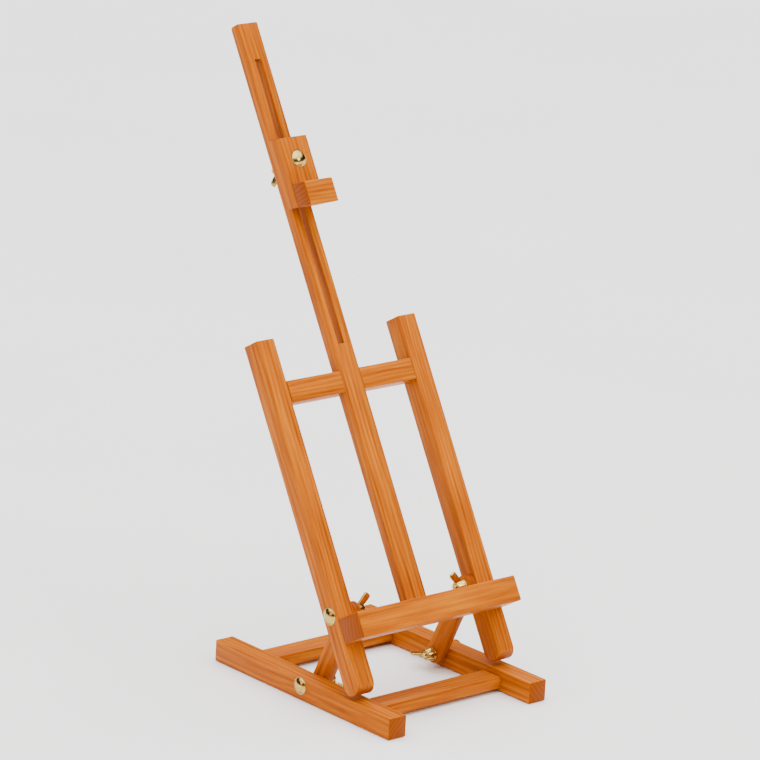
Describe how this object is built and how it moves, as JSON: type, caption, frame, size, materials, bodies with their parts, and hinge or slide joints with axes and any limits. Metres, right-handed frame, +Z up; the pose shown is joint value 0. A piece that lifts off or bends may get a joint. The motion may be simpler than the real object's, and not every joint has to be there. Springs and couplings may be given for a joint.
{
  "type": "tabletop easel",
  "caption": "Small folding tabletop easel in beech: flat base, leaning frame on struts, ledge, tall slotted mast with a sliding clamp, brass wing nuts.",
  "frame": {"origin": "on the table, at the middle of the easel's overall width and depth as it stands", "axes": "+X to the easel's right seen from the front, the front faces -Y, +Z up"},
  "size_m": [0.1932, 0.3576, 0.5639],
  "materials": {
    "beech": "golden satin lacquer",
    "dowel_beech": "bare",
    "brass": "bright yellow plating",
    "zinc_steel": "bright zinc"
  },
  "bodies": {
    "base": {"base_rail_left": "beech", "base_rail_right": "beech", "base_bar_front": "beech", "base_bar_rear": "beech", "base_dowels": "dowel_beech", "lower_bolt_left": "brass", "lower_bolt_right": "brass", "lower_washer_left": "brass", "lower_washer_right": "brass"},
    "left_strut": {"strut_left": "beech"},
    "right_strut": {"strut_right": "beech"},
    "leaning_frame": {"upright_left": "beech", "upright_right": "beech", "top_crossbar": "beech", "crossbar_dowels": "dowel_beech", "mast": "beech", "mast_screws": "zinc_steel", "tray": "beech", "tray_screws": "zinc_steel", "upper_bolt_left": "brass", "upper_bolt_right": "brass", "upper_washer_left": "brass", "upper_washer_right": "brass"},
    "clamp": {"clamp_block": "beech", "clamp_lip": "beech", "clamp_lip_screws": "zinc_steel", "clamp_bolt": "brass", "clamp_washer": "brass"},
    "lower_left_nut": {"lower_wing_nut_left": "brass"},
    "lower_right_nut": {"lower_wing_nut_right": "brass"},
    "upper_left_nut": {"upper_wing_nut_left": "brass"},
    "upper_right_nut": {"upper_wing_nut_right": "brass"},
    "clamp_nut": {"clamp_wing_nut": "brass"}
  },
  "joints": [
    {"name": "left_strut_pivot", "type": "hinge", "parent": "base", "child": "left_strut", "pos_m": [-0.073, -0.05676, 0.013], "axis": [1, 0, 0], "range_deg": [-26.5, 53]},
    {"name": "right_strut_pivot", "type": "hinge", "parent": "base", "child": "right_strut", "pos_m": [0.073, -0.05676, 0.013], "axis": [1, 0, 0], "range_deg": [-26.5, 53]},
    {"name": "frame_pivot", "type": "hinge", "parent": "left_strut", "child": "leaning_frame", "pos_m": [-0.073, -0.09226, 0.08913], "axis": [1, 0, 0], "range_deg": [-113, 56.6]},
    {"name": "clamp_slide", "type": "slide", "parent": "leaning_frame", "child": "clamp", "axis": [0, 0.5, 0.866], "range_m": [-0.167, 0.096]},
    {"name": "lower_left_nut_turn", "type": "hinge", "parent": "base", "child": "lower_left_nut", "pos_m": [-0.0639, -0.05676, 0.013], "axis": [1, 0, 0], "continuous": true},
    {"name": "lower_right_nut_turn", "type": "hinge", "parent": "base", "child": "lower_right_nut", "pos_m": [0.0639, -0.05676, 0.013], "axis": [-1, 0, 0], "continuous": true},
    {"name": "upper_left_nut_turn", "type": "hinge", "parent": "leaning_frame", "child": "upper_left_nut", "pos_m": [-0.0639, -0.09226, 0.08913], "axis": [1, 0, 0], "range_deg": [-60, 68]},
    {"name": "upper_right_nut_turn", "type": "hinge", "parent": "leaning_frame", "child": "upper_right_nut", "pos_m": [0.0639, -0.09226, 0.08913], "axis": [-1, 0, 0], "range_deg": [-68, 60]},
    {"name": "clamp_nut_turn", "type": "hinge", "parent": "clamp", "child": "clamp_nut", "pos_m": [0, 0.11236, 0.44154], "axis": [0, 0.866, -0.5], "continuous": true}
  ],
  "couplings": [
    {"joint": "right_strut_pivot", "follows": "left_strut_pivot", "ratio": 1},
    {"joint": "frame_pivot", "follows": "left_strut_pivot", "ratio": -2.1321}
  ]
}
